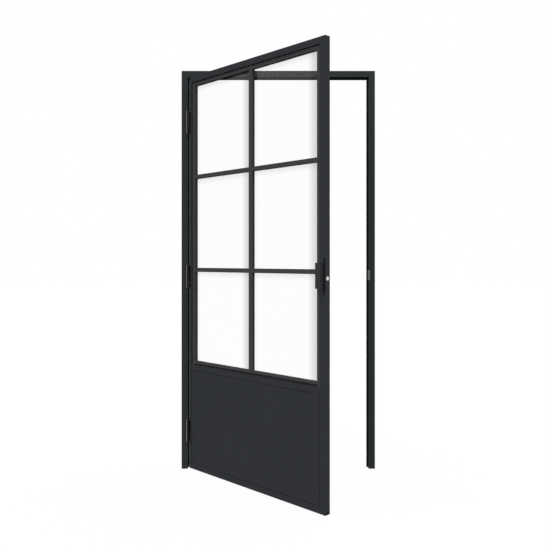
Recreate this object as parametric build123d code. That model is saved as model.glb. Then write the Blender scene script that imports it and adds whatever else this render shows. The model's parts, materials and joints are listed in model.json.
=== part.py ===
from build123d import *
from math import cos, radians, sin
import os

# Steel-look glass door: one hinged leaf in its own three-sided frame, built closed and then swung open.
# Millimetres. X runs across the doorway from the hinge side, Y from front to back, Z up from the floor.
# The origin is the middle of the hinge jamb's foot.

# Leaf
leaf_width = 930.0
leaf_height = 2015.0
leaf_thickness = 30.0
open_angle = 48.0
side_gap = 3.0
top_gap = 3.0
floor_gap = 7.0
hinge_stile_face = 17.0
lock_stile_face = 31.0
rail_face = 30.0
leaf_wall = 2.0
leaf_edge_radius = 1.0
panel_height = 475.0

# Frame: rebated tube with a stop lip behind the leaf
frame_face = 32.0
frame_depth = 40.0
frame_wall = 2.0
frame_edge_radius = 0.8
stop_height = 6.5
rebate_depth = 31.5
fixing_hole_radius = 4.0
fixing_inset = 260.0
fixing_step = 480.0
head_fixing_inset = 180.0

# Stop gasket
gasket_width = 5.0
gasket_edge_gap = 0.6
gasket_thickness = 1.2
gasket_crown_radius = 0.7

# Glazing, measured back from the leaf's front face
upright_bead_width = 22.0
upright_bar_width = 25.0
cross_bead_width = 20.0
bead_setback = 7.0
bead_wall = 1.2
bead_edge_radius = 0.5
front_tape_thickness = 1.5
front_tape_inset = 1.5
glass_thickness = 5.0
rear_tape_thickness = 1.0
rear_tape_inset = 0.5
fin_thickness = 2.0
fin_setback = 5.0
bar_web_thickness = 2.0
pane_rows = 3
pane_columns = 2
glass_edge_gap = 4.0
glass_web_gap = 1.5
setting_block_length = 40.0
setting_block_inset = 60.0

# Lower panel cassette
panel_groove = 2.0
panel_skin = 1.5
panel_edge_radius = 0.7

# Hinges: two barrels on one pin, a bearing washer between them, tails welded to jamb and leaf
barrel_radius = 9.0
barrel_standoff = 0.6
hinge_length = 116.0
hinge_low_height = 200.0
hinge_top_inset = 233.0
pin_radius = 5.0
pin_clearance = 0.05
barrel_cap = 4.0
barrel_edge = 1.5
washer_thickness = 2.0
washer_play = 0.1
washer_rim = 1.0

# Folded pull near the lock edge
pull_height = 1013.0
pull_edge_inset = 4.0
pull_sheet = 3.0
pull_projection = 30.0
pull_grip_width = 26.0
pull_grip_length = 110.0
pull_base_width = 23.0
pull_base_length = 154.0
pull_bend_radius = 5.0
pull_corner_radius = 3.0
pull_screw_inset = 10.0

# Ball catch in the lock edge and its strike
catch_drop = 12.0
ball_radius = 6.0
ball_running_gap = 0.3
catch_mouth_radius = 5.5
catch_flange_radius = 9.0
catch_flange_proud = 0.5
catch_flange_thickness = 1.5
catch_body_radius = 7.5
catch_body_length = 27.0
catch_end_wall = 1.5
catch_fit_gap = 0.1
catch_seat_angle = 60.0
spring_radius = 4.0
spring_wire = 1.0
spring_turns = 3
strike_length = 52.0
strike_width = 24.0
strike_thickness = 1.2
strike_lip = 6.0
strike_corner_radius = 3.0
strike_hole_radius = 5.0
strike_pocket_radius = 4.0
strike_screw_spacing = 38.0

# Countersunk screws
screw_shank_radius = 2.0
screw_head_radius = 3.8
screw_length = 11.0
screw_gap = 0.1
screw_slot_radius = 1.4
screw_slot_depth = 0.7

# Drop seal in the bottom edge
seal_slot_width = 10.0
seal_slot_height = 15.0
seal_wall = 1.0
seal_gap = 0.3
seal_bar_height = 5.0
seal_lip_height = 4.0
seal_lip_width_share = 0.6

# One overrun for every cut
overrun = 1.0

# Places worked out from the sizes above
catch_height = pull_height - catch_drop
front = -frame_depth / 2
back = frame_depth / 2
hinge_wall = frame_face / 2
lock_wall = hinge_wall + leaf_width + 2 * side_gap
frame_left = -frame_face / 2
frame_right = lock_wall + frame_face
leaf_left = hinge_wall + side_gap
leaf_right = leaf_left + leaf_width
leaf_bottom = floor_gap
leaf_top = leaf_bottom + leaf_height
leaf_back = front + leaf_thickness
leaf_middle_y = front + leaf_thickness / 2
head_under = leaf_top + top_gap
frame_top = head_under + frame_face
stop_front = front + rebate_depth
doorway_middle = (hinge_wall + lock_wall) / 2

axis_x = hinge_wall + side_gap / 2
axis_y = front - barrel_radius - barrel_standoff

inner_left = leaf_left + hinge_stile_face
inner_right = leaf_right - lock_stile_face
panel_bottom = leaf_bottom + rail_face
panel_top = panel_bottom + panel_height
glazing_bottom = panel_top + rail_face
glazing_top = leaf_top - rail_face
sight_left = inner_left + upright_bead_width
sight_right = inner_right - upright_bead_width
sight_bottom = glazing_bottom + cross_bead_width
sight_top = glazing_top - cross_bead_width
pane_width = (sight_right - sight_left - (pane_columns - 1) * upright_bar_width) / pane_columns
pane_height = (sight_top - sight_bottom - (pane_rows - 1) * cross_bead_width) / pane_rows
pane_lefts = [sight_left + column * (pane_width + upright_bar_width) for column in range(pane_columns)]
pane_bottoms = [sight_bottom + row * (pane_height + cross_bead_width) for row in range(pane_rows)]
bar_right = pane_lefts[1]
bar_left = bar_right - upright_bar_width

fin_left = sight_left - fin_setback
fin_right = sight_right + fin_setback
fin_front = leaf_back - fin_thickness
glass_back = fin_front - rear_tape_thickness
glass_front = glass_back - glass_thickness
bead_back = glass_front - front_tape_thickness
bead_front = front + bead_setback

hinge_heights = [
    hinge_low_height,
    (hinge_low_height + leaf_top - hinge_top_inset) / 2,
    leaf_top - hinge_top_inset,
]


def block(x0, x1, y0, y1, z0, z1):
    """A box between two opposite corners."""
    middle = Pos((x0 + x1) / 2, (y0 + y1) / 2, (z0 + z1) / 2)
    return middle * Box(x1 - x0, y1 - y0, z1 - z0)


def rectangle(x0, x1, y0, y1):
    """A flat rectangle between two opposite corners."""
    return Pos((x0 + x1) / 2, (y0 + y1) / 2) * Rectangle(x1 - x0, y1 - y0)


def corner(face, x, y):
    """The vertex of a flat face nearest to a place."""
    return face.vertices().sort_by_distance((x, y, 0))[0]


def opened(shape):
    """A piece of the closed leaf, swung open about the hinge line."""
    return shape.rotate(Axis((axis_x, axis_y, 0), (0, 0, 1)), -open_angle)


def along_x(profile, x0, x1, y0, z0):
    """A profile drawn as (depth, height), run along X from x0 to x1."""
    plane = Plane(origin=(x0, y0, z0), x_dir=(0, 1, 0), z_dir=(1, 0, 0))
    return extrude(plane * profile, amount=x1 - x0, dir=(1, 0, 0))


def along_z(profile, x0, y0, z0, z1):
    """A profile drawn as (across, depth), run up Z from z0 to z1."""
    return extrude(Pos(x0, y0, z0) * profile, amount=z1 - z0, dir=(0, 0, 1))


def across_door(radius, x0, x1, y, z):
    """A round bar along X."""
    return Pos((x0 + x1) / 2, y, z) * Cylinder(radius, x1 - x0, rotation=(0, 90, 0))


def upright(radius, x, y, z0, z1):
    """A round bar along Z."""
    return Pos(x, y, (z0 + z1) / 2) * Cylinder(radius, z1 - z0)


# Frame


def frame_profile():
    """Hollow rebated section: across from the wall side, depth from the front."""
    stop_edge = frame_face + stop_height
    skin = rectangle(0, frame_face, 0, frame_depth)
    skin += rectangle(0, stop_edge, rebate_depth, frame_depth)
    wall_side = [(0, 0), (0, frame_depth)]
    doorway_side = [(frame_face, 0), (stop_edge, rebate_depth), (stop_edge, frame_depth)]
    for x, y in wall_side + doorway_side:
        skin = fillet(corner(skin, x, y), frame_edge_radius)
    void = rectangle(frame_wall, frame_face - frame_wall, frame_wall, frame_depth - frame_wall)
    void += rectangle(
        frame_wall, stop_edge - frame_wall, rebate_depth + frame_wall, frame_depth - frame_wall
    )
    return skin - void


def fixing_heights():
    top_fixing = head_under - fixing_inset
    return [fixing_inset, fixing_inset + fixing_step, top_fixing - fixing_step, top_fixing]


def make_frame():
    fixing_y = front + rebate_depth / 2
    hinge_mitre = Plane(origin=(frame_left, 0, frame_top), z_dir=(1, 0, 1))
    lock_mitre = Plane(origin=(frame_right, 0, frame_top), z_dir=(-1, 0, 1))

    jamb = along_z(frame_profile(), frame_left, front, 0, frame_top)
    jamb = split(jamb, bisect_by=hinge_mitre, keep=Keep.BOTTOM)
    for height in fixing_heights():
        jamb -= across_door(fixing_hole_radius, frame_left - overrun, hinge_wall + overrun, fixing_y, height)
    lock = mirror(jamb, about=Plane.YZ.offset(doorway_middle))
    pocket_end = lock_wall + frame_wall + overrun
    lock -= across_door(strike_pocket_radius, lock_wall - overrun, pocket_end, leaf_middle_y, catch_height)
    for height in strike_screw_heights():
        lock -= across_door(
            screw_shank_radius + screw_gap, lock_wall - overrun, pocket_end, leaf_middle_y, height
        )

    head_plane = Plane(origin=(frame_left, front, frame_top), x_dir=(0, 0, -1), z_dir=(1, 0, 0))
    head = extrude(head_plane * frame_profile(), amount=frame_right - frame_left, dir=(1, 0, 0))
    head = split(head, bisect_by=hinge_mitre, keep=Keep.TOP)
    head = split(head, bisect_by=lock_mitre, keep=Keep.TOP)
    for x in (hinge_wall + head_fixing_inset, lock_wall - head_fixing_inset):
        head -= upright(fixing_hole_radius, x, fixing_y, head_under - overrun, frame_top + overrun)
    return {"hinge_jamb": jamb, "lock_jamb": lock, "head": head}


def make_gaskets():
    """Crowned rubber strips along the free edge of the stop lip, behind the shut leaf."""
    profile = rectangle(0, gasket_width, 0, gasket_thickness)
    for x in (0, gasket_width):
        profile = fillet(corner(profile, x, 0), gasket_crown_radius)
    from_wall = stop_height - gasket_edge_gap - gasket_width
    place_y = stop_front - gasket_thickness
    meeting_height = head_under - from_wall - gasket_width
    hinge_side = along_z(profile, hinge_wall + from_wall, place_y, 0, meeting_height)
    lock_side = mirror(hinge_side, about=Plane.YZ.offset(doorway_middle))
    run_start = (hinge_wall + from_wall, place_y, head_under - from_wall)
    run_plane = Plane(origin=run_start, x_dir=(0, 0, -1), z_dir=(1, 0, 0))
    run_length = lock_wall - hinge_wall - 2 * from_wall
    over_head = extrude(run_plane * profile, amount=run_length, dir=(1, 0, 0))
    return {"gasket_hinge_side": hinge_side, "gasket_lock_side": lock_side, "gasket_head": over_head}


# Leaf skeleton


def stile(face):
    """A hollow upright on the hinge side, its upper end welded shut, with glazing fins at the back."""
    skin = rectangle(0, face, 0, leaf_thickness)
    for y in (0, leaf_thickness):
        skin = fillet(corner(skin, 0, y), leaf_edge_radius)
    void = rectangle(leaf_wall, face - leaf_wall, leaf_wall, leaf_thickness - leaf_wall)
    tube = along_z(skin, leaf_left, front, leaf_bottom, leaf_top)
    tube -= along_z(void, leaf_left, front, leaf_bottom - overrun, leaf_top - leaf_wall)
    inner = leaf_left + face
    fin_edge = inner + upright_bead_width - fin_setback
    tube += block(inner, fin_edge, fin_front, leaf_back, panel_bottom, panel_top)
    tube += block(inner, fin_edge, fin_front, leaf_back, glazing_bottom, glazing_top)
    return tube - seal_slot(leaf_left - overrun, inner + overrun, seal_slot_width, seal_slot_height)


def seal_slot(x0, x1, width, height):
    """The room for the drop seal, open at the leaf's bottom edge."""
    y0 = leaf_middle_y - width / 2
    return block(x0, x1, y0, y0 + width, leaf_bottom - overrun, leaf_bottom + height)


def make_stiles():
    lock = mirror(stile(lock_stile_face), about=Plane.YZ.offset(doorway_middle))
    for start, radius in (
        (leaf_right - leaf_wall - overrun, catch_body_radius + catch_fit_gap),
        (leaf_right - catch_flange_thickness + catch_flange_proud, catch_flange_radius + catch_fit_gap),
    ):
        lock -= across_door(radius, start, leaf_right + overrun, leaf_middle_y, catch_height)
    for height in pull_screw_heights():
        hole_end = front + leaf_wall + overrun
        lock -= into_leaf(screw_shank_radius + screw_gap, front - overrun, hole_end, pull_screw_x(), height)
    return {"hinge_stile": stile(hinge_stile_face), "lock_stile": lock}


def rail(z0, with_fin_below, with_fin_above):
    """A crossbar between the stiles, with glazing fins along its inner edges."""
    skin = rectangle(0, leaf_thickness, 0, rail_face)
    void = rectangle(leaf_wall, leaf_thickness - leaf_wall, leaf_wall, rail_face - leaf_wall)
    bar = along_x(skin - void, inner_left, inner_right, front, z0)
    fin_height = cross_bead_width - fin_setback
    if with_fin_below:
        bar += block(fin_left, fin_right, fin_front, leaf_back, z0 - fin_height, z0)
    if with_fin_above:
        rail_top = z0 + rail_face
        bar += block(fin_left, fin_right, fin_front, leaf_back, rail_top, rail_top + fin_height)
    return bar


def bottom_rail():
    """The lowest crossbar, folded up round the drop seal's slot."""
    slot_y0 = (leaf_thickness - seal_slot_width) / 2
    slot_y1 = slot_y0 + seal_slot_width
    skin = rectangle(0, leaf_thickness, 0, rail_face)
    void = rectangle(leaf_wall, leaf_thickness - leaf_wall, leaf_wall, rail_face - leaf_wall)
    void -= rectangle(slot_y0 - leaf_wall, slot_y1 + leaf_wall, 0, seal_slot_height + leaf_wall)
    section = skin - void - rectangle(slot_y0, slot_y1, -overrun, seal_slot_height)
    bar = along_x(section, inner_left, inner_right, front, leaf_bottom)
    fin_top = panel_bottom + cross_bead_width - fin_setback
    return bar + block(fin_left, fin_right, fin_front, leaf_back, panel_bottom, fin_top)


def make_panel():
    """A flat cassette in the lower field: folded front tray, board core and back sheet."""
    left = inner_left + panel_groove
    right = inner_right - panel_groove
    low = panel_bottom + panel_groove
    high = panel_top - panel_groove
    sheet_front = fin_front - panel_skin
    tray = block(left, right, front, sheet_front, low, high)
    tray = fillet(tray.faces().sort_by(Axis.Y)[0].edges(), panel_edge_radius)
    across = (left + panel_skin, right - panel_skin)
    upward = (low + panel_skin, high - panel_skin)
    tray -= block(*across, front + panel_skin, sheet_front + overrun, *upward)
    core = block(*across, front + panel_skin, sheet_front, *upward)
    sheet = block(left, right, sheet_front, fin_front, low, high)
    return {"panel_front_tray": tray, "panel_core": core, "panel_back_sheet": sheet}


# Glazing


def bead_profile(width, rounded):
    """Hollow glazing bead, across by depth; rounded lists which front edges show."""
    depth = bead_back - bead_front
    skin = rectangle(0, width, 0, depth)
    for x in rounded:
        skin = fillet(corner(skin, x, 0), bead_edge_radius)
    return skin - rectangle(bead_wall, width - bead_wall, bead_wall, depth - bead_wall)


def lying(profile, x0, x1, z_low):
    """A bead profile laid along X, its across direction pointing up."""
    plane = Plane(origin=(x0, bead_front, z_low), x_dir=(0, 0, 1), z_dir=(-1, 0, 0))
    return extrude(plane * profile, amount=x1 - x0, dir=(1, 0, 0))


def make_beads():
    """Square beads round the glazed field, on its front side."""
    hinge_section = bead_profile(upright_bead_width, [upright_bead_width])
    lock_section = bead_profile(upright_bead_width, [0])
    low_section = bead_profile(cross_bead_width, [cross_bead_width])
    top_section = bead_profile(cross_bead_width, [0])
    return {
        "bead_hinge_side": along_z(hinge_section, inner_left, bead_front, glazing_bottom, glazing_top),
        "bead_lock_side": along_z(lock_section, sight_right, bead_front, glazing_bottom, glazing_top),
        "bead_bottom": lying(low_section, sight_left, sight_right, glazing_bottom),
        "bead_top": lying(top_section, sight_left, sight_right, sight_top),
    }


def make_bars():
    """T-shaped glazing bars with a hollow cover on the front, one upright and two broken crossbars."""
    bar_middle = (bar_left + bar_right) / 2
    web_left = bar_middle - bar_web_thickness / 2
    web_right = bar_middle + bar_web_thickness / 2
    flange_left = bar_left + fin_setback
    flange_right = bar_right - fin_setback
    flange_height = sight_bottom - fin_setback, sight_top + fin_setback
    upright_bar = block(flange_left, flange_right, fin_front, leaf_back, *flange_height)
    upright_bar += block(web_left, web_right, bead_back, fin_front, glazing_bottom, glazing_top)
    upright_section = bead_profile(upright_bar_width, [0, upright_bar_width])
    cross_section = bead_profile(cross_bead_width, [0, cross_bead_width])
    pieces = {
        "bar_upright": upright_bar,
        "cover_upright": along_z(upright_section, bar_left, bead_front, sight_bottom, sight_top),
    }
    runs = {
        "hinge_side": ((sight_left, bar_left), (fin_left, flange_left), (inner_left, web_left)),
        "lock_side": ((bar_right, sight_right), (flange_right, fin_right), (web_right, inner_right)),
    }
    for level, pane_bottom in (("lower", pane_bottoms[1]), ("upper", pane_bottoms[2])):
        bar_low = pane_bottom - cross_bead_width
        web_low = bar_low + (cross_bead_width - bar_web_thickness) / 2
        flange_span = bar_low + fin_setback, pane_bottom - fin_setback
        for side, (cover_ends, flange_ends, web_ends) in runs.items():
            bar = block(*flange_ends, fin_front, leaf_back, *flange_span)
            bar += block(*web_ends, bead_back, fin_front, web_low, web_low + bar_web_thickness)
            pieces[f"bar_{level}_{side}"] = bar
            pieces[f"cover_{level}_{side}"] = lying(cross_section, *cover_ends, bar_low)
    return pieces


def pane_edges(column, row):
    """The glass edges of one pane: left, right, bottom and top, each held in its rebate."""
    upright_web, cross_web = (
        (width - bar_web_thickness) / 2 - glass_web_gap for width in (upright_bar_width, cross_bead_width)
    )
    at_stile = upright_bead_width - glass_edge_gap
    at_rail = cross_bead_width - glass_edge_gap
    left = pane_lefts[column] - (upright_web if column else at_stile)
    right = pane_lefts[column] + pane_width + (upright_web if column < pane_columns - 1 else at_stile)
    low = pane_bottoms[row] - (cross_web if row else at_rail)
    high = pane_bottoms[row] + pane_height + (cross_web if row < pane_rows - 1 else at_rail)
    return left, right, low, high


def tape_ring(column, row, y0, y1, inset):
    """A flat frame of glazing tape between one pane and what holds it, kept back from the sight line."""
    left, right, low, high = pane_edges(column, row)
    ring = block(left, right, y0, y1, low, high)
    ring -= block(
        pane_lefts[column] - inset,
        pane_lefts[column] + pane_width + inset,
        y0 - overrun,
        y1 + overrun,
        pane_bottoms[row] - inset,
        pane_bottoms[row] + pane_height + inset,
    )
    return ring


def setting_blocks(column, row):
    """Two packers under a pane's lower edge."""
    left, right, low, high = pane_edges(column, row)
    seat = low - (glass_web_gap if row else glass_edge_gap)
    blocks = []
    for start in (left + setting_block_inset, right - setting_block_inset - setting_block_length):
        blocks.append(block(start, start + setting_block_length, glass_front, glass_back, seat, low))
    return blocks


def make_glazing():
    pieces = {}
    front_tapes = []
    rear_tapes = []
    blocks = []
    level_names = ["lower", "middle", "upper"]
    side_names = ["hinge_side", "lock_side"]
    for row in range(pane_rows):
        for column in range(pane_columns):
            left, right, low, high = pane_edges(column, row)
            pane = block(left, right, glass_front, glass_back, low, high)
            pieces[f"glass_{level_names[row]}_{side_names[column]}"] = pane
            front_tapes.append(tape_ring(column, row, bead_back, glass_front, front_tape_inset))
            rear_tapes.append(tape_ring(column, row, glass_back, fin_front, fin_setback + rear_tape_inset))
            blocks.extend(setting_blocks(column, row))
    pieces["glazing_tape_front"] = Compound(children=front_tapes)
    pieces["glazing_tape_rear"] = Compound(children=rear_tapes)
    pieces["setting_blocks"] = Compound(children=blocks)
    return pieces


# Hinges


def barrel(x_inner, x_outer, z0, z1, blind_top):
    """A hinge barrel with its welded tail, bored for the pin and closed at one end."""
    body = upright(barrel_radius, axis_x, axis_y, z0, z1)
    rim = body.edges().filter_by(GeomType.CIRCLE).sort_by(Axis.Z)[-1 if blind_top else 0]
    body = chamfer(rim, barrel_edge)
    tail_end = z1 - barrel_edge if blind_top else z1
    tail_start = z0 if blind_top else z0 + barrel_edge
    body += block(*sorted((x_inner, x_outer)), axis_y, front, tail_start, tail_end)
    bore_start = z0 - overrun if blind_top else z0 + barrel_cap
    bore_end = z1 - barrel_cap if blind_top else z1 + overrun
    return body - upright(pin_radius + pin_clearance, axis_x, axis_y, bore_start, bore_end)


def make_hinges():
    fixed = {}
    swinging = {}
    pins = []
    washers = []
    for name, height in zip(("bottom", "middle", "top"), hinge_heights):
        low = height - hinge_length / 2
        high = height + hinge_length / 2
        seat = height - washer_thickness / 2
        jamb_tail = hinge_wall - frame_edge_radius
        leaf_tail = leaf_left + leaf_edge_radius
        fixed[f"hinge_barrel_{name}_lower"] = barrel(jamb_tail, axis_x - barrel_radius, low, seat, False)
        raised = seat + washer_thickness + washer_play
        swinging[f"hinge_barrel_{name}_upper"] = barrel(leaf_tail, axis_x + barrel_radius, raised, high, True)
        pins.append(upright(pin_radius, axis_x, axis_y, low + barrel_cap, high - barrel_cap - washer_play))
        washer = upright(barrel_radius - washer_rim, axis_x, axis_y, seat, seat + washer_thickness)
        washer_bore = pin_radius + pin_clearance
        washer -= upright(washer_bore, axis_x, axis_y, seat - overrun, seat + washer_thickness + overrun)
        washers.append(washer)
    fixed["hinge_pins"] = Compound(children=pins)
    fixed["hinge_washers"] = Compound(children=washers)
    return fixed, swinging


# Screws


def into_leaf(radius, y0, y1, x, z):
    """A round bar along Y."""
    return Pos(x, (y0 + y1) / 2, z) * Cylinder(radius, y1 - y0, rotation=(90, 0, 0))


def screw(head_depth):
    """A countersunk screw pointing down, its flat head at the top with a drive recess."""
    cone = Pos(0, 0, -head_depth / 2) * Cone(screw_shank_radius, screw_head_radius, head_depth)
    shank = upright(screw_shank_radius, 0, 0, -screw_length, -head_depth)
    recess_sides = 6
    recess = extrude(RegularPolygon(screw_slot_radius, recess_sides), amount=-screw_slot_depth)
    return cone + shank - recess


def countersink(head_depth):
    """The seat that such a screw sits in."""
    return Pos(0, 0, -head_depth / 2) * Cone(
        screw_shank_radius + screw_gap, screw_head_radius + screw_gap, head_depth
    )


# Pull


def pull_screw_x():
    return leaf_right - pull_edge_inset - pull_base_width / 2


def pull_screw_heights():
    reach = pull_base_length / 2 - pull_screw_inset
    return [pull_height - reach, pull_height + reach]


def facing_front(x, y, z):
    """Where a screw that is driven in from the front stands."""
    return Pos(x, y, z) * Rot(90, 0, 0)


def make_pull():
    """One folded sheet: a screwed base, a web at the lock edge and a grip turned back to the hinge side."""
    edge = leaf_right - pull_edge_inset
    tip = edge - pull_grip_width
    outer = front - pull_projection
    section = rectangle(tip, edge, outer, outer + pull_sheet)
    section += rectangle(edge - pull_sheet, edge, outer, front)
    section += rectangle(edge - pull_base_width, edge, front - pull_sheet, front)
    inner_bend = pull_bend_radius - pull_sheet
    section = fillet(corner(section, edge, outer), pull_bend_radius)
    section = fillet(corner(section, edge, front), pull_bend_radius)
    section = fillet(corner(section, edge - pull_sheet, outer + pull_sheet), inner_bend)
    section = fillet(corner(section, edge - pull_sheet, front - pull_sheet), inner_bend)
    grip_low = pull_height - pull_grip_length / 2
    grip_high = pull_height + pull_grip_length / 2
    handle = along_z(section, 0, 0, grip_low, grip_high)
    free_corners = [
        side for side in handle.edges().filter_by(Axis.Y)
        if abs(side.center().X - tip) < pull_sheet and side.center().Y < outer + pull_sheet
    ]
    handle = fillet(free_corners, pull_corner_radius)
    base = block(
        edge - pull_base_width,
        edge - pull_bend_radius,
        front - pull_sheet,
        front,
        pull_height - pull_base_length / 2,
        pull_height + pull_base_length / 2,
    )
    tab_radius = (pull_base_width - pull_bend_radius) / 2 - pull_sheet
    base = fillet(base.edges().filter_by(Axis.Y), tab_radius)
    handle += base
    screws = []
    for height in pull_screw_heights():
        place = facing_front(pull_screw_x(), front - pull_sheet, height)
        handle -= place * countersink(pull_sheet)
        screws.append(place * screw(pull_sheet))
    return {"pull_handle": handle, "pull_screws": Compound(children=screws)}


# Ball catch and strike


def strike_screw_heights():
    return [catch_height - strike_screw_spacing / 2, catch_height + strike_screw_spacing / 2]


def facing_doorway(height):
    """Where a screw that is driven into the lock jamb from the doorway stands."""
    return Pos(lock_wall - strike_thickness, leaf_middle_y, height) * Rot(0, -90, 0)


def make_strike():
    """A bent plate: flat in the rebate, its lip lapping the jamb's front corner."""
    wall_side = lock_wall - strike_thickness
    low = catch_height - strike_length / 2
    high = catch_height + strike_length / 2
    lip_front = front - strike_thickness
    section = rectangle(wall_side, lock_wall, lip_front, front + strike_width)
    section += rectangle(wall_side, lock_wall + strike_lip, lip_front, front)
    section = fillet(corner(section, wall_side, lip_front), strike_thickness)
    plate = along_z(section, 0, 0, low, high)
    rear_corners = plate.edges().filter_by(Axis.X).group_by(Axis.Y)[-1]
    plate = fillet(rear_corners, strike_corner_radius)
    plate -= across_door(
        strike_hole_radius, wall_side - overrun, lock_wall + overrun, leaf_middle_y, catch_height
    )
    screws = []
    for height in strike_screw_heights():
        plate -= facing_doorway(height) * countersink(strike_thickness)
        screws.append(facing_doorway(height) * screw(strike_thickness))
    return {"strike_plate": plate, "strike_screws": Compound(children=screws)}


def make_catch():
    """A sprung ball in a flanged barrel, let into the lock edge."""
    face_x = leaf_right + catch_flange_proud
    flange_back = face_x - catch_flange_thickness
    end_x = face_x - catch_body_length
    cup_x = end_x + catch_end_wall
    bore_radius = ball_radius + ball_running_gap
    seat_cos = cos(radians(catch_seat_angle))
    seat_sin = sin(radians(catch_seat_angle))
    ball_x = face_x - (bore_radius - catch_mouth_radius * seat_sin) / seat_cos
    shoulder_x = ball_x + bore_radius * (1 - seat_sin) / seat_cos
    outline = Polyline(
        (cup_x, bore_radius),
        (cup_x, 0),
        (end_x, 0),
        (end_x, catch_body_radius),
        (flange_back, catch_body_radius),
        (flange_back, catch_flange_radius),
        (face_x, catch_flange_radius),
        (face_x, catch_mouth_radius),
        (shoulder_x, bore_radius),
        close=True,
    )
    place = Pos(0, leaf_middle_y, catch_height)
    case = place * revolve(make_face(outline), axis=Axis.X)
    ball = place * Pos(ball_x, 0, 0) * Sphere(ball_radius)

    coil_start = cup_x + spring_wire
    seat = (ball_radius**2 - spring_radius**2) ** 0.5
    coil_length = ball_x - seat - spring_wire - ball_running_gap - coil_start
    coil = Helix(pitch=coil_length / spring_turns, height=coil_length, radius=spring_radius)
    wire = Plane(origin=coil @ 0, z_dir=coil % 0) * Rectangle(spring_wire, spring_wire)
    spring = place * Pos(coil_start, 0, 0) * Rot(0, 90, 0) * sweep(wire, path=coil)
    return {"catch_case": case, "catch_ball": ball, "catch_spring": spring}


# Drop seal


def make_seal():
    """A lip that drops to the floor when the leaf shuts, shown drawn up in its channel."""
    housing_width = seal_slot_width - 2 * seal_gap
    housing_top = leaf_bottom + seal_slot_height - seal_gap
    hollow_width = housing_width - 2 * seal_wall
    bar_width = hollow_width - 2 * seal_gap
    lip_width = bar_width * seal_lip_width_share
    bar_low = leaf_bottom + seal_lip_height

    def full_width(width, z0, z1):
        y0 = leaf_middle_y - width / 2
        return block(leaf_left, leaf_right, y0, y0 + width, z0, z1)

    channel = full_width(housing_width, leaf_bottom, housing_top)
    hollow_height = seal_slot_height - seal_gap - seal_wall
    channel -= seal_slot(leaf_left - overrun, leaf_right + overrun, hollow_width, hollow_height)
    return {
        "drop_seal_channel": channel,
        "drop_seal_bar": full_width(bar_width, bar_low, bar_low + seal_bar_height),
        "drop_seal_lip": full_width(lip_width, leaf_bottom, bar_low),
    }


def main():
    fixed_hinges, swinging_hinges = make_hinges()
    fixed = {**make_frame(), **make_gaskets(), **make_strike(), **fixed_hinges}
    swinging = {
        **make_stiles(),
        "top_rail": rail(glazing_top, True, False),
        "mid_rail": rail(panel_top, True, True),
        "bottom_rail": bottom_rail(),
        **make_panel(),
        **make_beads(),
        **make_bars(),
        **make_glazing(),
        **swinging_hinges,
        **make_pull(),
        **make_catch(),
        **make_seal(),
    }
    os.makedirs("parts", exist_ok=True)
    for name, shape in fixed.items():
        export_step(shape, f"parts/{name}.step")
    for name, shape in swinging.items():
        export_step(opened(shape), f"parts/{name}.step")


main()
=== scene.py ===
import bpy
import json
import math
from mathutils import Matrix, Vector


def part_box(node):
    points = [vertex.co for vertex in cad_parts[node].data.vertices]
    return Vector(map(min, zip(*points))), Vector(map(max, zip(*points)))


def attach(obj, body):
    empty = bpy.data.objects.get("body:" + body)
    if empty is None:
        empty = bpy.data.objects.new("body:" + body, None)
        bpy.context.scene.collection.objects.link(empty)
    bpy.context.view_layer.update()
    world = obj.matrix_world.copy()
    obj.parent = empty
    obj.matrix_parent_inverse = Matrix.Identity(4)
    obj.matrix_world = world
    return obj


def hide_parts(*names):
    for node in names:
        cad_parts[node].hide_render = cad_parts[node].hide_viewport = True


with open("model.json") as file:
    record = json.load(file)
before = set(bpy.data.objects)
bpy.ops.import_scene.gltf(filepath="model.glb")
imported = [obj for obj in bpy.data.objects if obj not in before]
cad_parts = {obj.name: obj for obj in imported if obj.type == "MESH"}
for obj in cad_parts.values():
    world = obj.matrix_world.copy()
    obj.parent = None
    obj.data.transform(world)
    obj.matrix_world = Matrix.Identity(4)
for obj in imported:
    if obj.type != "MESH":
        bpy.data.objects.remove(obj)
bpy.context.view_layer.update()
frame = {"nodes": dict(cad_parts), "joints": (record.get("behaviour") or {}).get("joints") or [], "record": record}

# Anthracite steel-look glass door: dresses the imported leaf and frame, in metres, in the part's own frame.
MM = 0.001
nodes = frame["nodes"]

# Hinge line and opening angle, from the part's own swing joint
swing = next(joint for joint in frame["joints"] if joint["name"] == "leaf_swing")
hinge_point = Vector(swing["pos_m"])
open_angle = math.radians(-swing["range_deg"][0])
opening = (
    Matrix.Translation(hinge_point)
    @ Matrix.Rotation(-open_angle, 4, "Z")
    @ Matrix.Translation(-hinge_point)
)
closing = opening.inverted()

# Camera, fitted to the photograph's edges
camera_place = (312.15 * MM, -3677.34 * MM, 1076.72 * MM)
camera_lens_mm = 46.305
camera_shift = (0.0545, -0.0264)

# Panes and the wedge of sealant round each
glass_arris = 0.8 * MM
sealant_width = 0.6 * MM
sealant_height = 1.0 * MM
sealant_thin_edge = 0.25 * MM

# Socket set screws in the hinge barrels
grub_radius = 2.5 * MM
grub_socket_radius = 1.4 * MM
grub_proud = 0.3 * MM
grub_depth = 2.0 * MM
grub_sides = 24

# Plunger of the drop seal
plunger_radius = 2.0 * MM
plunger_lift = 2.35 * MM
plunger_reach = 2.2 * MM
plunger_nose = 0.8 * MM
plunger_sides = 32

# Black rubber pad under the pull, whose edge is a painted shadow line in the corner beside its web
shadow_pad_lap = 1.0 * MM
shadow_pad_height = 2.8 * MM
shadow_pad_edge_gap = 0.8 * MM
shadow_pad_round = 1.3 * MM

# Dark rubber strip along the foot of the bottom bead, a painted shadow line where the bead meets the mid rail
bead_shadow_strip_height = 9.0 * MM
bead_shadow_strip_depth = 2.5 * MM
bead_shadow_strip_round = 1.0 * MM
bead_shadow_strip_end_gap = 0.2 * MM

# Rounded edges: steps across one, and the angle below which a turn is shaded smooth
round_steps = 3
smooth_angle = math.radians(40)

# How squarely a face has to look along an axis to be picked
square_on = 0.9

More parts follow.
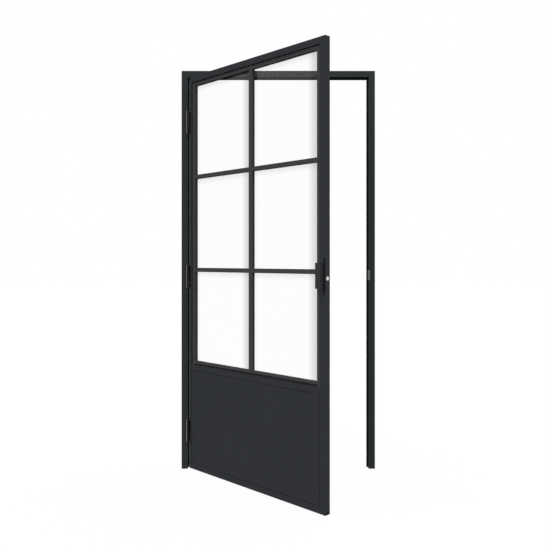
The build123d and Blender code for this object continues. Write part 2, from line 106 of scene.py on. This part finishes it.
# Grain of the finishes, in millimetres from crest to crest
peel_mm = 2.5
grit_mm = 0.7
cloud_mm = 260.0
hearth_wave_mm = 120.0
rubber_skin_mm = 1.2
plastic_skin_mm = 0.9

# Relief of each grain: how strongly it tilts the surface, and its height
peel_relief = (0.25, 0.08 * MM)
grit_relief = (0.10, 0.03 * MM)
enamel_relief = (0.10, 0.05 * MM)
hearth_wave_relief = (0.05, 0.05 * MM)
rubber_relief = (0.30, 0.05 * MM)
plastic_relief = (0.20, 0.03 * MM)

# How far the roughness of a finish strays to either side
paint_gloss_spread = 0.06
rubber_gloss_spread = 0.08
metal_gloss_spread = 0.06

# Tone that every rubber skin strays to, share of its tone that a metal keeps in a scratch, and tint of
# clear glass
rubber_skin_hex = "#0b0b0c"
scratch_tone = 0.85
clear_glass_hex = "#fcfcfc"

# Turn of an enamelled face away from the eye at which its gloss starts and is full: 0 square on, 1 edge on
enamel_gloss_turn = (0.06, 0.3)

# Painted shade on the outer face of the pull's web, darker towards its foot: how deep it is read into the
# sheet, and the share of its brightness that the paint keeps at the grip and at the foot
painted_shade_skin = 1.0 * MM
painted_shade_tone = (0.82, 0.30)

# Soft shade at a pane's lock side and under the bar above it: the distances from the edge between which it
# fades out, and its lightness
side_shade = (16 * MM, 74 * MM, 0.69)
top_shade = (0.0, 36 * MM, 0.85)

# Strength of the dome of light in front and behind, and the height over which it fades in at the horizon
dome_light = (2.35, 0.95)
dome_fade = 0.05
white_hex = "#ffffff"

# Floor: its size and how far it lies below the door, its tone for the light that it throws up and for the
# eye, and the share of its brightness that takes the door's shadow
floor_size = 60.0
floor_drop = 1 * MM
floor_bounce_hex = "#202020"
floor_seen_hex = "#dadada"
floor_shadow_share = 0.05


def closed_box(name):
    """Lowest and highest corner of a leaf node with the leaf swung shut."""
    places = [closing @ vertex.co for vertex in nodes[name].data.vertices]
    low = Vector(min(place[axis] for place in places) for axis in range(3))
    high = Vector(max(place[axis] for place in places) for axis in range(3))
    return low, high


# Materials


def linear(hex_code):
    """An sRGB hex colour as linear red, green, blue and alpha."""
    channels = [int(hex_code[i:i + 2], 16) / 255 for i in (1, 3, 5)]
    return tuple(c / 12.92 if c <= 0.04045 else ((c + 0.055) / 1.055) ** 2.4 for c in channels) + (1.0,)


def add_node(tree, kind, inputs=None, **settings):
    """Adds a node with its settings; inputs take a value or another node's output."""
    node = tree.nodes.new(kind)
    for name, value in settings.items():
        setattr(node, name, value)
    for name, value in (inputs or {}).items():
        if isinstance(value, bpy.types.NodeSocket):
            tree.links.new(value, node.inputs[name])
        else:
            node.inputs[name].default_value = value
    return node


def start_material(name, **shader_values):
    """A material with its shader's plain values set, and its node tree and Object coordinates."""
    material = bpy.data.materials.new(name)
    material.use_nodes = True
    tree = material.node_tree
    shader = tree.nodes["Principled BSDF"]
    for socket, value in shader_values.items():
        shader.inputs[socket.replace("_", " ")].default_value = value
    place = add_node(tree, "ShaderNodeTexCoord").outputs["Object"]
    return material, tree, shader, place


def per_metre(size_mm):
    """A texture's scale, from the size of one grain or wave in millimetres."""
    return 1 / (size_mm * MM)


def shut_place(tree, place):
    """Object coordinates with the leaf swung shut, as separate X, Y and Z."""
    shut = add_node(
        tree, "ShaderNodeMapping",
        {"Vector": place, "Location": closing.to_translation(), "Rotation": closing.to_euler()},
    )
    return add_node(tree, "ShaderNodeSeparateXYZ", {"Vector": shut.outputs["Vector"]}).outputs


def web_painted_shade(tree, place):
    """1 all over the pull, but less on the outer face of its web: painted shade that darkens it towards
    the foot, where it meets the leaf."""
    low, high = closed_box("pull_handle")
    parts = shut_place(tree, place)
    down = add_node(
        tree, "ShaderNodeMapRange",
        {
            "Value": parts["Y"],
            "From Min": low.y,
            "From Max": high.y,
            "To Min": painted_shade_tone[0],
            "To Max": painted_shade_tone[1],
        },
    )
    return add_node(
        tree, "ShaderNodeMapRange",
        {
            "Value": parts["X"],
            "From Min": high.x - 2 * painted_shade_skin,
            "From Max": high.x - painted_shade_skin,
            "To Min": 1.0,
            "To Max": down.outputs["Result"],
        },
    ).outputs["Result"]


def powder_coat(name, thin_hex, thick_hex, roughness, painted_shade=None):
    """Polyester powder baked on steel: a dull even skin with a fine orange peel and slight clouds in its
    shade. The peel is really about 0.8 mm from crest to crest and is drawn coarser, so that it shows."""
    material, tree, shader, place = start_material(name, Specular_IOR_Level=0.03)
    peel = add_node(
        tree, "ShaderNodeTexNoise", {"Vector": place, "Scale": per_metre(peel_mm), "Detail": 2.0}
    )
    grit = add_node(
        tree, "ShaderNodeTexNoise", {"Vector": place, "Scale": per_metre(grit_mm), "Detail": 1.0}
    )
    clouds = add_node(
        tree, "ShaderNodeTexNoise", {"Vector": place, "Scale": per_metre(cloud_mm), "Detail": 2.0}
    )
    shade = add_node(
        tree, "ShaderNodeMix",
        {"Factor": clouds.outputs["Fac"], "A": linear(thin_hex), "B": linear(thick_hex)},
        data_type="RGBA",
    )
    # Where a factor is given, it darkens the paint as painted shade.
    if painted_shade:
        shade = add_node(
            tree, "ShaderNodeMix",
            {"Factor": 1.0, "A": shade.outputs["Result"], "B": painted_shade(tree, place)},
            data_type="RGBA",
            blend_type="MULTIPLY",
        )
    tree.links.new(shade.outputs["Result"], shader.inputs["Base Color"])
    gloss = add_node(
        tree, "ShaderNodeMapRange",
        {
            "Value": grit.outputs["Fac"],
            "To Min": roughness - paint_gloss_spread,
            "To Max": roughness + paint_gloss_spread,
        },
    )
    tree.links.new(gloss.outputs["Result"], shader.inputs["Roughness"])
    grit_bump = add_node(
        tree, "ShaderNodeBump",
        {"Height": grit.outputs["Fac"], "Strength": grit_relief[0], "Distance": grit_relief[1]},
    )
    peel_bump = add_node(
        tree, "ShaderNodeBump",
        {
            "Height": peel.outputs["Fac"],
            "Strength": peel_relief[0],
            "Distance": peel_relief[1],
            "Normal": grit_bump.outputs["Normal"],
        },
    )
    tree.links.new(peel_bump.outputs["Normal"], shader.inputs["Normal"])
    return material


def black_enamel(name, hex_code, roughness):
    """Stoved enamel on turned steel: black towards the eye, with a hard gloss where it turns away, which
    draws a bright line down a barrel's side. The coat is stronger than real enamel's, so that the line
    shows, and its peel is drawn as coarse as the powder coat's."""
    material, tree, shader, place = start_material(
        name,
        Base_Color=linear(hex_code),
        Roughness=0.4,
        Specular_IOR_Level=0.05,
        Coat_Roughness=roughness,
        Coat_IOR=2.4,
    )
    away = add_node(tree, "ShaderNodeLayerWeight", {"Blend": 0.5}).outputs["Facing"]
    gloss = add_node(
        tree, "ShaderNodeMapRange",
        {"Value": away, "From Min": enamel_gloss_turn[0], "From Max": enamel_gloss_turn[1]},
    )
    tree.links.new(gloss.outputs["Result"], shader.inputs["Coat Weight"])
    skin = add_node(
        tree, "ShaderNodeTexNoise", {"Vector": place, "Scale": per_metre(peel_mm), "Detail": 2.0}
    )
    bump = add_node(
        tree, "ShaderNodeBump",
        {"Height": skin.outputs["Fac"], "Strength": enamel_relief[0], "Distance": enamel_relief[1]},
    )
    tree.links.new(bump.outputs["Normal"], shader.inputs["Normal"])
    return material


def edge_shade(tree, along, edge, pitch, start, end, lightness):
    """Rises from the given lightness to 1 between two distances from an edge; the edges lie a pitch apart."""
    offset = add_node(tree, "ShaderNodeMath", {0: edge, 1: along}, operation="SUBTRACT")
    away = add_node(tree, "ShaderNodeMath", {0: offset.outputs["Value"], 1: pitch}, operation="MODULO")
    return add_node(
        tree, "ShaderNodeMapRange",
        {
            "Value": away.outputs["Value"],
            "From Min": start,
            "From Max": end,
            "To Min": lightness,
            "To Max": 1.0,
        },
        interpolation_type="SMOOTHSTEP",
    ).outputs["Result"]


def clear_float_glass():
    """Toughened float glass: clear, with the faint long wave that the roller hearth leaves and a weak
    mirror, as under an anti-glare coat. A soft grey shade runs along each pane's lock side and upper edge."""
    material, tree, shader, place = start_material(
        "toughened_float_glass",
        Roughness=0.0,
        IOR=1.52,
        Transmission_Weight=1.0,
        Specular_Tint=linear("#808080"),
    )
    wave = add_node(
        tree, "ShaderNodeTexNoise", {"Vector": place, "Scale": per_metre(hearth_wave_mm), "Detail": 0.0}
    )
    bump = add_node(
        tree, "ShaderNodeBump",
        {
            "Height": wave.outputs["Fac"],
            "Strength": hearth_wave_relief[0],
            "Distance": hearth_wave_relief[1],
        },
    )
    tree.links.new(bump.outputs["Normal"], shader.inputs["Normal"])
    lock_edge, upright_edge = closed_box("bead_lock_side")[0].x, closed_box("cover_upright")[0].x
    top_edge, crossbar_edge = closed_box("bead_top")[0].z, closed_box("cover_upper_lock_side")[0].z
    parts = shut_place(tree, place)
    side = edge_shade(tree, parts["X"], lock_edge, lock_edge - upright_edge, *side_shade)
    above = edge_shade(tree, parts["Z"], top_edge, top_edge - crossbar_edge, *top_shade)
    shade = add_node(tree, "ShaderNodeMath", {0: side, 1: above}, operation="MULTIPLY")
    tint = add_node(
        tree, "ShaderNodeMix",
        {"Factor": shade.outputs["Value"], "A": linear("#000000"), "B": linear(clear_glass_hex)},
        data_type="RGBA",
    )
    tree.links.new(tint.outputs["Result"], shader.inputs["Base Color"])
    return material


def moulded_rubber(name, hex_code, roughness):
    """EPDM rubber: near black and dull, with a fine skin from the die."""
    material, tree, shader, place = start_material(name, Specular_IOR_Level=0.05)
    skin = add_node(
        tree, "ShaderNodeTexNoise", {"Vector": place, "Scale": per_metre(rubber_skin_mm), "Detail": 3.0}
    )
    shade = add_node(
        tree, "ShaderNodeMix",
        {"Factor": skin.outputs["Fac"], "A": linear(hex_code), "B": linear(rubber_skin_hex)},
        data_type="RGBA",
    )
    tree.links.new(shade.outputs["Result"], shader.inputs["Base Color"])
    gloss = add_node(
        tree, "ShaderNodeMapRange",
        {
            "Value": skin.outputs["Fac"],
            "To Min": roughness - rubber_gloss_spread,
            "To Max": roughness + rubber_gloss_spread,
        },
    )
    tree.links.new(gloss.outputs["Result"], shader.inputs["Roughness"])
    bump = add_node(
        tree, "ShaderNodeBump",
        {"Height": skin.outputs["Fac"], "Strength": rubber_relief[0], "Distance": rubber_relief[1]},
    )
    tree.links.new(bump.outputs["Normal"], shader.inputs["Normal"])
    return material


def metal(name, hex_code, roughness, grain_mm, run_mm):
    """Metal with a fine directional grain: short upright scratches grain_mm wide and run_mm long."""
    material, tree, shader, place = start_material(name, Metallic=1.0)
    turned = add_node(
        tree, "ShaderNodeMapping",
        {"Vector": place, "Scale": (per_metre(grain_mm), per_metre(grain_mm), per_metre(run_mm))},
    )
    grain = add_node(
        tree, "ShaderNodeTexNoise", {"Vector": turned.outputs["Vector"], "Scale": 1.0, "Detail": 2.0}
    )
    bright = Vector(linear(hex_code))
    shade = add_node(
        tree, "ShaderNodeMix",
        {"Factor": grain.outputs["Fac"], "A": tuple(bright * scratch_tone), "B": tuple(bright)},
        data_type="RGBA",
    )
    tree.links.new(shade.outputs["Result"], shader.inputs["Base Color"])
    gloss = add_node(
        tree, "ShaderNodeMapRange",
        {
            "Value": grain.outputs["Fac"],
            "To Min": roughness - metal_gloss_spread,
            "To Max": roughness + metal_gloss_spread,
        },
    )
    tree.links.new(gloss.outputs["Result"], shader.inputs["Roughness"])
    return material


def hard_plastic(name, hex_code, roughness):
    """Moulded plastic with the faint grain of an eroded mould."""
    material, tree, shader, place = start_material(name, Base_Color=linear(hex_code), Roughness=roughness)
    skin = add_node(
        tree, "ShaderNodeTexNoise", {"Vector": place, "Scale": per_metre(plastic_skin_mm), "Detail": 2.0}
    )
    bump = add_node(
        tree, "ShaderNodeBump",
        {"Height": skin.outputs["Fac"], "Strength": plastic_relief[0], "Distance": plastic_relief[1]},
    )
    tree.links.new(bump.outputs["Normal"], shader.inputs["Normal"])
    return material


# Each finish by its slot, or by its piece: name, tone or tones, roughness, and for a metal the width and
# length of its scratches in millimetres
finishes = {
    "frame_paint": powder_coat("anthracite_powder_coat_frame", "#2e3131", "#313434", 0.85),
    "leaf_paint": powder_coat("anthracite_powder_coat_leaf", "#2f3135", "#313337", 0.85),
    "bead_paint": powder_coat("anthracite_powder_coat_beads", "#3d3d3e", "#404041", 0.8),
    "hinge_paint": black_enamel("black_enamel_hinges", "#060607", 0.15),
    # The pull's paint darkens towards the foot of its web's outer face: painted shade.
    "pull_paint": powder_coat("anthracite_powder_coat_pull", "#313336", "#343638", 0.8, web_painted_shade),
    "pane_glass": clear_float_glass(),
    "gasket_rubber": moulded_rubber("epdm_stop_gasket", "#060606", 0.7),
    "glazing_tape": moulded_rubber("closed_cell_glazing_tape", "#080808", 0.8),
    "seal_rubber": moulded_rubber("epdm_drop_seal", "#060606", 0.65),
    # The strip at the foot of the bottom bead is dark rubber that stands in for shade: painted shadow.
    "bead_shadow_strip": moulded_rubber("epdm_bead_shadow_strip", "#2e2f31", 0.75),
    "block_plastic": hard_plastic("polyamide_setting_blocks", "#3a3b3d", 0.5),
    "panel_core": hard_plastic("rigid_foam_board", "#cdc8b8", 0.9),
    "pin_steel": metal("ground_steel_pin", "#b9bbbd", 0.3, 0.4, 8.0),
    "strike_steel": metal("satin_stainless_strike", "#6c6e70", 0.5, 0.5, 12.0),
    "screw_steel": metal("blackened_steel_screws", "#3c3d40", 0.45, 0.4, 2.0),
    "catch_case": metal("satin_nickel_case", "#c9c6be", 0.3, 0.4, 4.0),
    "catch_ball": metal("polished_nickel_ball", "#f4f1e8", 0.12, 0.6, 3.0),
    "spring_steel": metal("drawn_spring_wire", "#a9abad", 0.35, 0.3, 3.0),
    "seal_aluminium": metal("black_anodised_aluminium", "#232427", 0.5, 0.5, 20.0),
}


def dress_nodes():
    """Gives each node of the part the finish of its slot in the record."""
    for subpart in frame["record"]["subparts"]:
        mesh = nodes[subpart["node"]].data
        mesh.materials.clear()
        mesh.materials.append(finishes[subpart["material_slot"]])


# Pieces modelled here


def apply_modifier(piece, kind, **settings):
    """Adds a modifier with its settings and applies it."""
    modifier = piece.modifiers.new(kind.lower(), kind)
    for name, value in settings.items():
        setattr(modifier, name, value)
    bpy.ops.object.modifier_apply(modifier=modifier.name)


def begin(add, name, stretch=(1.0, 1.0, 1.0), **settings):
    """Adds a primitive with nothing else selected and leaves it at the origin with its place in its mesh."""
    bpy.ops.object.select_all(action="DESELECT")
    add(**settings)
    piece = bpy.context.object
    piece.name = name
    piece.scale = stretch
    bpy.ops.object.transform_apply(location=True, rotation=True, scale=True)
    return piece


def select_faces(piece, wanted):
    """Selects the faces whose normal passes a test, and stays in edit mode's face mode."""
    bpy.ops.object.mode_set(mode="EDIT")
    bpy.ops.mesh.select_mode(type="FACE")
    bpy.ops.mesh.select_all(action="DESELECT")
    bpy.ops.object.mode_set(mode="OBJECT")
    for face in piece.data.polygons:
        face.select = wanted(face.normal)
    bpy.ops.object.mode_set(mode="EDIT")


def hang_on_leaf(piece, slot, replaced=None, finish=None):
    """Swings a piece open with the leaf and lets it ride there, in its slot's finish or one of its own."""
    piece.data.transform(opening)
    piece.data.materials.append(finishes[finish or slot])
    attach(piece, "leaf")
    if replaced:
        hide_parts(replaced)


def make_block(name, low, high, edge, steps):
    """A box between two corners, with every edge cut back; more than one step rounds it."""
    block = begin(
        bpy.ops.mesh.primitive_cube_add, name, high - low, size=1.0, location=(low + high) / 2
    )
    apply_modifier(block, "BEVEL", width=edge, segments=steps)
    if steps > 1:
        bpy.ops.object.shade_smooth_by_angle(angle=smooth_angle)
    return block


def make_pane(node_name):
    """A glass sheet with its ground arris round both faces."""
    low, high = closed_box(node_name)
    pane = make_block(f"{node_name}_sheet", low, high, glass_arris, 1)
    hang_on_leaf(pane, "pane_glass", node_name)


def make_sealant(node_name, sight):
    """A wedge of glazing sealant between the beads and the front of one pane."""
    glass_front = closed_box(node_name)[0].y
    left, right, bottom, top = sight
    ring = begin(
        bpy.ops.mesh.primitive_plane_add,
        f"{node_name}_sealant",
        (right - left, top - bottom, 1.0),
        size=1.0,
        location=((left + right) / 2, glass_front, (bottom + top) / 2),
        rotation=(math.pi / 2, 0, 0),
    )
    bpy.ops.object.mode_set(mode="EDIT")
    bpy.ops.mesh.select_all(action="SELECT")
    bpy.ops.mesh.inset(thickness=sealant_width)
    bpy.ops.mesh.delete(type="FACE")
    bpy.ops.object.mode_set(mode="OBJECT")
    apply_modifier(ring, "SOLIDIFY", thickness=sealant_height, offset=1.0)
    for vertex in ring.data.vertices:
        inside = left + sealant_width / 2 < vertex.co.x < right - sealant_width / 2
        inside = inside and bottom + sealant_width / 2 < vertex.co.z < top - sealant_width / 2
        if inside and vertex.co.y < glass_front - sealant_height / 2:
            vertex.co.y = glass_front - sealant_thin_edge
    hang_on_leaf(ring, "glazing_tape")


def add_panes():
    """Six panes and their sealant, each in the field between the beads and covers round it."""
    columns = {
        "hinge_side": ("bead_hinge_side", "cover_upright"),
        "lock_side": ("cover_upright", "bead_lock_side"),
    }
    rows = {
        "lower": ("bead_bottom", "cover_lower_{side}"),
        "middle": ("cover_lower_{side}", "cover_upper_{side}"),
        "upper": ("cover_upper_{side}", "bead_top"),
    }
    for side, (left_node, right_node) in columns.items():
        for level, (low_node, high_node) in rows.items():
            name = f"glass_{level}_{side}"
            sight = (
                closed_box(left_node)[1].x,
                closed_box(right_node)[0].x,
                closed_box(low_node.format(side=side))[1].z,
                closed_box(high_node.format(side=side))[0].z,
            )
            make_pane(name)
            make_sealant(name, sight)


def make_grub_screw(name, place, body):
    """A socket set screw in the side of a hinge barrel, pointing at its pin."""
    screw = begin(
        bpy.ops.mesh.primitive_cylinder_add,
        name,
        vertices=grub_sides,
        radius=grub_radius,
        depth=grub_depth,
        location=place,
        rotation=(math.pi / 2, 0, 0),
    )
    select_faces(screw, lambda normal: normal.y < -square_on)
    bpy.ops.mesh.inset(thickness=grub_radius - grub_socket_radius)
    bpy.ops.mesh.extrude_region_move(TRANSFORM_OT_translate={"value": (0, grub_depth / 2, 0)})
    bpy.ops.object.mode_set(mode="OBJECT")
    screw.data.materials.append(finishes["screw_steel"])
    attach(screw, body)


def add_grub_screws():
    """One set screw at the middle of each lower barrel, on its front."""
    for level in ("bottom", "middle", "top"):
        low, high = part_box(f"hinge_barrel_{level}_lower")
        front = low[1] - grub_proud + grub_depth / 2
        place = (hinge_point.x, front, (low[2] + high[2]) / 2)
        make_grub_screw(f"grub_screw_{level}", place, "frame")


def add_seal_plunger():
    """The nylon button at the leaf's hinge edge that pushes the drop seal down when the leaf shuts."""
    low, high = closed_box("drop_seal_bar")
    button = begin(
        bpy.ops.mesh.primitive_cylinder_add,
        "drop_seal_plunger",
        vertices=plunger_sides,
        radius=plunger_radius,
        depth=2 * plunger_reach,
        location=(low.x, (low.y + high.y) / 2, high.z + plunger_lift),
        rotation=(0, math.pi / 2, 0),
    )
    select_faces(button, lambda normal: normal.x < -square_on)
    bpy.ops.mesh.bevel(offset=plunger_nose, segments=round_steps)
    bpy.ops.object.mode_set(mode="OBJECT")
    bpy.ops.object.shade_smooth_by_angle(angle=smooth_angle)
    hang_on_leaf(button, "block_plastic")


def add_pull_shadow_pad():
    """A black rubber pad under the pull, set in the corner where only shade falls: its edge is a painted
    shadow line between the pull's web and the lock edge.
    """
    pull_low, pull_high = closed_box("pull_handle")
    lock_edge = closed_box("lock_stile")[1].x
    low = Vector((pull_high.x - shadow_pad_lap, pull_high.y - shadow_pad_height, pull_low.z))
    high = Vector((lock_edge - shadow_pad_edge_gap, pull_high.y, pull_high.z))
    shadow_pad = make_block("pull_shadow_pad", low, high, shadow_pad_round, round_steps)
    hang_on_leaf(shadow_pad, "gasket_rubber")


def add_bead_shadow_strip():
    """A dark rubber strip along the foot of the bottom bead, standing in for the shade there: a painted shadow
    line above the mid rail.
    """
    bead_low, bead_high = closed_box("bead_bottom")
    low = bead_low + Vector((bead_shadow_strip_end_gap, -bead_shadow_strip_depth, 0))
    high = Vector((bead_high.x - bead_shadow_strip_end_gap, bead_low.y, bead_low.z + bead_shadow_strip_height))
    strip = make_block("bead_shadow_strip", low, high, bead_shadow_strip_round, round_steps)
    hang_on_leaf(strip, "glazing_tape", finish="bead_shadow_strip")


# Stage


def seen_directly(tree):
    """1 for what is seen straight, by mirror or through glass, and 0 for light on a dull surface."""
    path = add_node(tree, "ShaderNodeLightPath")
    mirrored = add_node(
        tree, "ShaderNodeMath",
        {0: path.outputs["Is Camera Ray"], 1: path.outputs["Is Glossy Ray"]}, operation="MAXIMUM",
    )
    seen = add_node(
        tree, "ShaderNodeMath",
        {0: mirrored.outputs["Value"], 1: path.outputs["Is Transmission Ray"]}, operation="MAXIMUM",
    )
    unscattered = add_node(
        tree, "ShaderNodeMath", {0: path.outputs["Diffuse Depth"], 1: 1.0}, operation="LESS_THAN"
    )
    straight = add_node(
        tree, "ShaderNodeMath",
        {0: seen.outputs["Value"], 1: unscattered.outputs["Value"]}, operation="MULTIPLY",
    )
    return straight.outputs["Value"]


def set_world():
    """A white room that lights the door as one soft dome above the floor. Dull surfaces get none of its
    light through glass."""
    world = bpy.data.worlds.new("studio")
    bpy.context.scene.world = world
    world.use_nodes = True
    tree = world.node_tree
    tree.nodes.clear()
    direction = add_node(tree, "ShaderNodeTexCoord").outputs["Generated"]
    parts = add_node(tree, "ShaderNodeSeparateXYZ", {"Vector": direction})
    round_about = add_node(
        tree, "ShaderNodeMapRange",
        {"Value": parts.outputs["Y"], "From Min": -1.0, "To Min": dome_light[0], "To Max": dome_light[1]},
    )
    dome = add_node(
        tree, "ShaderNodeMapRange",
        {
            "Value": parts.outputs["Z"],
            "From Min": -dome_fade,
            "From Max": dome_fade,
            "To Min": 0.0,
            "To Max": round_about.outputs["Result"],
        },
    )
    through_glass = add_node(tree, "ShaderNodeLightPath").outputs["Is Transmission Ray"]
    open_dome = add_node(
        tree, "ShaderNodeMapRange",
        {"Value": through_glass, "To Min": dome.outputs["Result"], "To Max": 0.0},
    )
    strength = add_node(
        tree, "ShaderNodeMapRange",
        {"Value": seen_directly(tree), "To Min": open_dome.outputs["Result"], "To Max": 1.0},
    )
    sky = add_node(
        tree, "ShaderNodeBackground", {"Color": linear(white_hex), "Strength": strength.outputs["Result"]}
    )
    add_node(tree, "ShaderNodeOutputWorld", {"Surface": sky.outputs["Background"]})


def set_floor():
    """A pale floor: white where it lies clear, faintly shaded by the door, and throwing little light up."""
    material = bpy.data.materials.new("pale_studio_floor")
    material.use_nodes = True
    tree = material.node_tree
    tree.nodes.clear()
    seen = seen_directly(tree)
    tone = add_node(
        tree, "ShaderNodeMix",
        {"Factor": seen, "A": linear(floor_bounce_hex), "B": linear(floor_seen_hex)},
        data_type="RGBA",
    )
    board = add_node(tree, "ShaderNodeBsdfDiffuse", {"Color": tone.outputs["Result"]})
    glow = add_node(tree, "ShaderNodeEmission", {"Color": linear(white_hex), "Strength": 1.0})
    share = add_node(tree, "ShaderNodeMath", {0: seen, 1: 1 - floor_shadow_share}, operation="MULTIPLY")
    mixed = add_node(
        tree, "ShaderNodeMixShader",
        {"Fac": share.outputs["Value"], 1: board.outputs["BSDF"], 2: glow.outputs["Emission"]},
    )
    add_node(tree, "ShaderNodeOutputMaterial", {"Surface": mixed.outputs["Shader"]})
    bpy.ops.object.select_all(action="DESELECT")
    bpy.ops.mesh.primitive_plane_add(size=floor_size, location=(0, 0, -floor_drop))
    floor = bpy.context.object
    floor.name = "studio_floor"
    floor.data.materials.append(material)


def set_camera():
    """A level camera that looks straight at the frame, with its picture shifted as the photograph's is."""
    lens = bpy.data.cameras.new("photo_camera")
    lens.lens = camera_lens_mm
    lens.shift_x, lens.shift_y = camera_shift
    camera = bpy.data.objects.new("photo_camera", lens)
    camera.location = camera_place
    camera.rotation_euler = (math.pi / 2, 0, 0)
    bpy.context.collection.objects.link(camera)
    bpy.context.scene.camera = camera


dress_nodes()
add_panes()
add_grub_screws()
add_seal_plunger()
add_pull_shadow_pad()
add_bead_shadow_strip()
set_world()
set_floor()
set_camera()
bpy.context.scene.view_settings.view_transform = "Standard"
